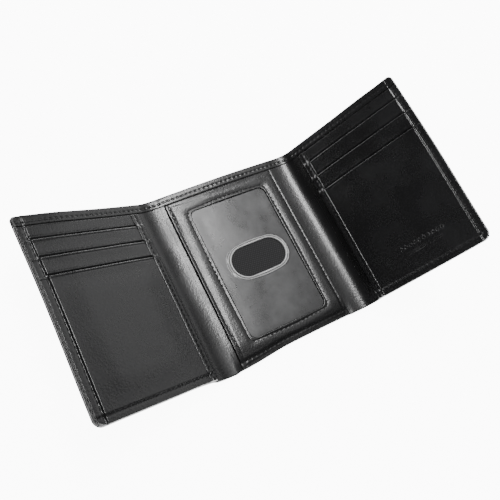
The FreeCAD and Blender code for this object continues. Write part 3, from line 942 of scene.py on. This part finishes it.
def stadiumEdge(directions, length, width):
    # distance to a round-ended slot's outline in each direction from its middle
    radius, reach = width / 2, (length - width) / 2
    cosine, sine = np.abs(directions[:, 0]), np.abs(directions[:, 1])
    straight = radius / np.maximum(sine, 1e-9)
    rounded = reach * cosine + np.sqrt(np.maximum(radius ** 2 - (reach * sine) ** 2, 0))
    return np.where(straight * cosine <= reach, straight, rounded)


def windowTop(q, y, gap, *unused):
    # a raised double lip round the thumb hole and slack ripples in the film
    return ridge(gap, window["lip"]) + ridge(gap, window["outerLip"]) + ripples(q, y)


def lipShare(gap):
    # 1 on the two ridges of the lip, 0 on the plain film
    (inner, _, width), (outer, _, outerWidth) = window["lip"], window["outerLip"]
    return np.clip(hump((gap - inner) / (width + 0.05 * mm))
                   + 0.6 * hump((gap - outer) / outerWidth), 0, 1)


def ripples(q, y, *unused):
    # slow waves in the film, fading out towards the frame
    acrossRun, swayRun, alongRun = window["waves"]
    wave = (0.6 * np.sin(q / acrossRun + 2.2 * np.sin(y / swayRun))
            + 0.4 * np.sin(y / alongRun + 1))
    for along, low, high in zip((q, y), openingLow, openingHigh):
        fromFrame = np.minimum(along - low, high - along)
        wave = wave * smooth(fromFrame / window["slack"])
    return window["ripple"] * wave


def spanLoop(qSpan, ySpan, *shape):
    return roundedLoop(np.array([qSpan[0], ySpan[0]]), np.array([qSpan[1], ySpan[1]]), *shape)


qSpan, ySpan, levels = flatSpan("id_window")
outline = spanLoop(qSpan, ySpan, window["corner"], 70, 90)
directions = (outline - holeMiddle) / np.linalg.norm(outline - holeMiddle, axis=1, keepdims=True)
hole = holeMiddle + directions * stadiumEdge(directions, window["holeLength"],
                                             window["holeWidth"])[:, None]
shares = np.concatenate([np.linspace(0, 0.13, 22), np.linspace(0.16, 1, 20)])
follow(loopSlab("idWindow", "vinyl", hole, outline, shares, (levels[0], levels[0] + window["film"]),
                windowTop, ripples, lipShare), "centre")


def frameTop(q, y, gap, rim):
    # sewn lines pressed in beside the opening, down both sides and along the bottom, with the
    # leather swelling between them
    beside = (q < openingLow[0]) | (q > openingHigh[0])
    sideGap = np.minimum(np.abs(q - frameLow[0] - idFrame["sideSeamInset"]),
                         np.abs(frameHigh[0] - idFrame["sideSeamInset"] - q))
    pressed, light = 0, idFrame["pucker"]
    for distance, along, share in (
            (gap - idFrame["seamInset"], np.where(beside, y, q), light),
            (sideGap, y, light),
            (outerSeam(q, y), q, 1)):
        sewn = groove(distance, idFrame["dent"], idFrame["dentWidth"])
        pressed = np.minimum(pressed, sewn * pucker(along, share))
    room = np.minimum(gap - idFrame["seamInset"], rim - idFrame["sideSeamInset"])
    height, rise = idFrame["swell"]
    return pressed + height * smooth(room / rise) + frameLift(q, y)


def frameLift(q, y, *unused):
    # the open side of the card pocket stands off the divider
    gap, rise = idFrame["mouthEnd"]
    nearSide = smooth((frameLow[0] + idFrame["mouthReach"] - q) / idFrame["mouthReach"])
    return idFrame["mouthLift"] * nearSide * smooth((frameHigh[1] - gap - np.abs(y)) / rise)


qSpan, ySpan, levels = flatSpan("id_frame")
ySpan = (ySpan[0], ySpan[1] - pocket["headGap"])
inner = roundedLoop(openingLow, openingHigh, idFrame["corner"], 90, 150, 9)
outer = spanLoop(qSpan, ySpan, idFrame["outerCorner"], 90, 150, 9)
# rings close together over both rounded edges and both sewn lines, in mm across the frame
across = 10.5
near = [0, 0.1, 0.22, 0.38, 0.6, 0.9, 1.2, 1.5, 1.75, 2, 2.25, 2.5, 2.8, 3.3]
far = near[:-1] + [3.1, 3.4, 3.7, 4.1, 4.5, 5, 5.6]
shares = np.concatenate([np.array(near) / across, 1 - np.array(far) / across, [0.38, 0.44]])
shares = np.unique(shares)
follow(loopSlab("idFrame", "leather", inner, outer, shares, levels, frameTop, frameLift), "centre")

frameLevel = levels[1]
sideQs = (qSpan[0] + idFrame["sideSeamInset"], qSpan[1] - idFrame["sideSeamInset"])
sideRun = flatSpan("id_frame_side_seams")[1]
rows = [([(q, sideRun[1]), (q, sideRun[0])], frameLevel, stitch["rise"], 1) for q in sideQs]
follow(stitchRows("idFrameSideSeams", rows), "centre")
grown = idFrame["seamInset"]
loop = roundedLoop(openingLow - grown, openingHigh + grown, idFrame["corner"] + grown, 44, 60, 9)
rows = [(np.concatenate([loop, loop[:1]]), frameLevel, stitch["rise"], 1)]
follow(stitchRows("idWindowSeam", rows), "centre")
bottomRun = flatSpan("centre_bottom_seam")[0]
path = [(bottomRun[0], edgeSeamY), (bottomRun[1], edgeSeamY)]
seams("centre", "BottomSeam", [(path, frameLevel, stitch["rise"], 1),
                               (path, 0, stitch["outside"], -1)])
print("centre panel made")


studio = {
    "floorGap": 0.3 * mm,
    "floorColour": (0.9, 0.9, 0.9),
    "floorGlow": 10,                  # as the camera sees it
    "floorSpill": 6,                  # as it lights the wallet
    "world": 0.14,
    # each lamp: direction from the wallet, distance, width, length, watts
    "lamps": {
        "key": ((0.14, 0.25, 0.95), 0.9, 0.11, 0.56, 7.4),
        "overhead": ((0.32, 0.30, 0.90), 1.1, 1.0, 1.0, 2.0),
        "leftPanelLamp": ((0.93, 0.25, 0.27), 1.2, 1.05, 1.05, 4.1),
        "front": ((-0.2, -0.9, 0.7), 1.3, 0.8, 0.8, 0.8),
    },
}
camera = {"target": (0.72 * mm, 5.19 * mm, 0), "distance": 338 * mm, "heading": -57.9,
          "elevation": 63.43, "roll": 33.2, "lens": 42.22}


def seenStrength(tree, seen, spill):
    # one brightness for what the camera sees directly, another for the light that it sheds
    isSeen = addNode(tree, "LightPath").outputs["Is Camera Ray"]
    return scaled(tree, scaled(tree, isSeen, seen - spill), spill, "ADD")


def makeFloor():
    # a wide flat plate just under the wallet
    across = np.linspace(-1.5, 1.5, 13)
    x, y = np.meshgrid(across, across, indexing="ij")
    z = np.full_like(x, -studio["floorGap"])
    index = np.arange(x.size).reshape(x.shape)
    faces = np.stack([index[:-1, :-1], index[1:, :-1], index[1:, 1:], index[:-1, 1:]], -1)
    points = np.stack([x, y, z], -1).reshape(-1, 3)
    mesh = bpy.data.meshes.new("floor")
    mesh.from_pydata(points.tolist(), [], faces.reshape(-1, 4).tolist())
    material, tree, shader = newMaterial("palePaper")
    setInputs(shader, {"Base Color": (*studio["floorColour"], 1), "Emission Color": (1, 1, 1, 1),
                       "Roughness": 0.9, "Specular IOR Level": 0.1})
    tree.links.new(seenStrength(tree, studio["floorGlow"], studio["floorSpill"]),
              shader.inputs["Emission Strength"])
    mesh.materials.append(material)
    addToScene(bpy.data.objects.new("floor", mesh))


def makeLamp(name, direction, distance, width, length, watts):
    data = bpy.data.lights.new(name, "AREA")
    data.shape, data.size, data.size_y, data.energy = "ELLIPSE", width, length, watts
    lamp = addToScene(bpy.data.objects.new(name, data))
    lamp.location = Vector(direction).normalized() * distance
    lamp.rotation_mode = "QUATERNION"
    lamp.rotation_quaternion = Vector(direction).to_track_quat("Z", "Y")


def makeCamera():
    # turned to its heading, tilted to its elevation, then rolled about the line of sight
    data = bpy.data.cameras.new("camera")
    data.lens, data.sensor_width = camera["lens"], 36
    data.clip_start, data.clip_end = 0.01, 10
    thing = addToScene(bpy.data.objects.new("camera", data))
    turned = (Matrix.Rotation(math.radians(camera["heading"]), 4, "Z")
              @ Matrix.Rotation(math.radians(90 - camera["elevation"]), 4, "X")
              @ Matrix.Rotation(math.radians(camera["roll"]), 4, "Z"))
    spot = Vector(camera["target"]) + turned.col[2].to_3d() * camera["distance"]
    thing.matrix_world = Matrix.Translation(spot) @ turned
    bpy.context.scene.camera = thing


makeFloor()
for name, settings in studio["lamps"].items():
    makeLamp(name, *settings)
makeCamera()
world = bpy.data.worlds.new("studio")
world.use_nodes = True
tree = world.node_tree
background = tree.nodes["Background"]
background.inputs["Color"].default_value = (1, 1, 1, 1)
tree.links.new(seenStrength(tree, studio["floorGlow"], studio["world"]),
               background.inputs["Strength"])
bpy.context.scene.world = world
print("studio made")
